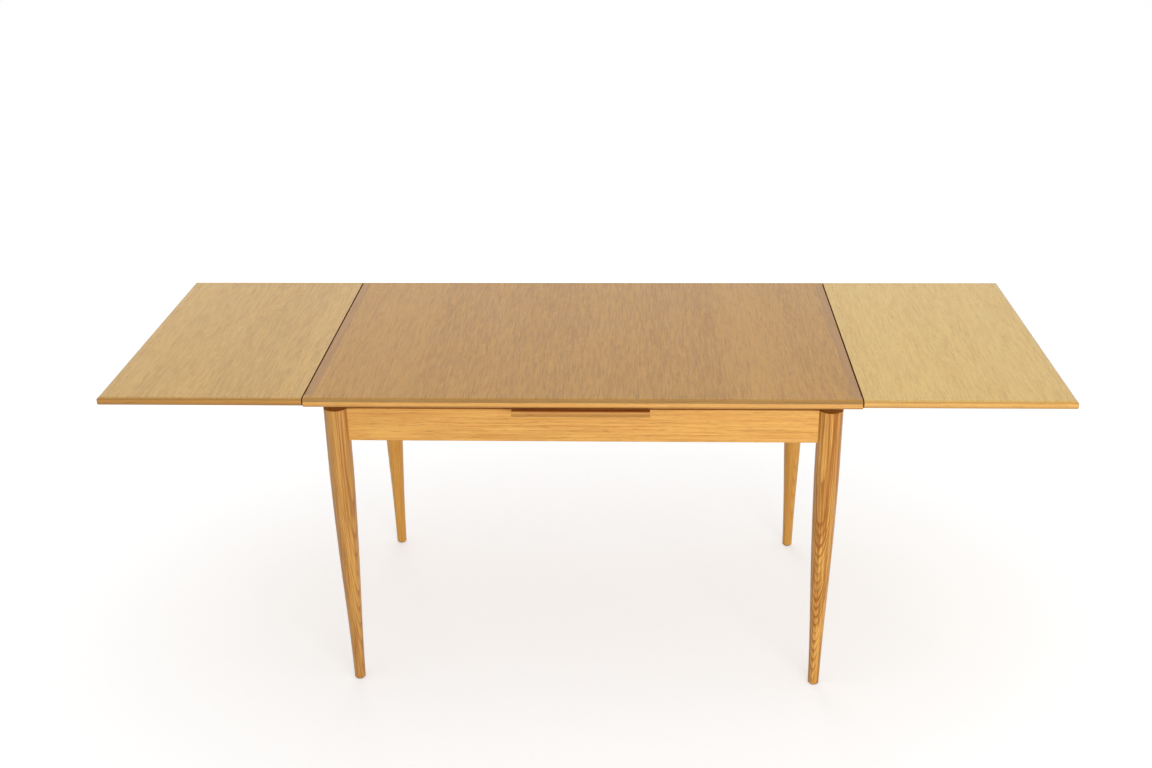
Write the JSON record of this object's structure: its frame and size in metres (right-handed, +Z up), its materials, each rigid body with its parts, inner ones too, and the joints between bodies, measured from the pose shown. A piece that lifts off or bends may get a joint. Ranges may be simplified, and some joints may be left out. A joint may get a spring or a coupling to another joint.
{
  "type": "draw leaf table",
  "caption": "Wooden dining table with a floating top on turned tapering legs and a draw leaf at each end that slides out on inclined bearers to lie level with the top.",
  "frame": {"origin": "on the floor, under the middle of the table with both leaves drawn out", "axes": "+X along the table's length, +Y from the front towards the rear, +Z up"},
  "size_m": [2.104, 0.75, 0.755],
  "materials": {
    "top_veneer": "satin lacquer on veneer",
    "leaf_veneer": "satin lacquer on veneer",
    "board_veneer": "satin lacquer on veneer",
    "lipping": "satin lacquer",
    "apron_veneer": "satin lacquer on veneer",
    "leg_wood": "satin lacquer",
    "plain_beech": "planed",
    "turned_beech": "turned",
    "steel": "zinc plated",
    "glide": "moulded"
  },
  "bodies": {
    "frame": {"apron_dowels": "turned_beech", "centre_board": "board_veneer", "centre_board_front_lip": "lipping", "centre_board_rear_lip": "lipping", "centre_board_screws": "steel", "corner_bolts": "steel", "corner_brace_front_left": "plain_beech", "corner_brace_front_right": "plain_beech", "corner_brace_rear_left": "plain_beech", "corner_brace_rear_right": "plain_beech", "corner_nuts": "steel", "cross_rail": "plain_beech", "cross_rail_dowels": "turned_beech", "foot_glides": "glide", "front_apron": "apron_veneer", "left_apron": "apron_veneer", "leg_front_left": "leg_wood", "leg_front_right": "leg_wood", "leg_rear_left": "leg_wood", "leg_rear_right": "leg_wood", "rear_apron": "apron_veneer", "right_apron": "apron_veneer"},
    "top": {"guide_pegs": "turned_beech", "keeper_screws": "steel", "peg_keepers": "turned_beech", "top_front_lip": "lipping", "top_left_lip": "lipping", "top_panel": "top_veneer", "top_rear_lip": "lipping", "top_right_lip": "lipping"},
    "left_leaf": {"left_leaf_front_bearer": "plain_beech", "left_leaf_front_lip": "lipping", "left_leaf_inner_lip": "lipping", "left_leaf_outer_lip": "lipping", "left_leaf_panel": "leaf_veneer", "left_leaf_rear_bearer": "plain_beech", "left_leaf_rear_lip": "lipping", "left_leaf_screws": "steel", "left_leaf_stop_pins": "turned_beech"},
    "right_leaf": {"right_leaf_front_bearer": "plain_beech", "right_leaf_front_lip": "lipping", "right_leaf_inner_lip": "lipping", "right_leaf_outer_lip": "lipping", "right_leaf_panel": "leaf_veneer", "right_leaf_rear_bearer": "plain_beech", "right_leaf_rear_lip": "lipping", "right_leaf_screws": "steel", "right_leaf_stop_pins": "turned_beech"}
  },
  "joints": [
    {"name": "top_lift", "type": "slide", "parent": "frame", "child": "top", "axis": [0, 0, 1], "range_m": [0, 0.0255]},
    {"name": "left_leaf_slide", "type": "slide", "parent": "frame", "child": "left_leaf", "axis": [-0.9987, 0, 0.0502], "range_m": [0, 0.02]},
    {"name": "right_leaf_slide", "type": "slide", "parent": "frame", "child": "right_leaf", "axis": [0.9987, 0, 0.0502], "range_m": [0, 0.02]}
  ]
}
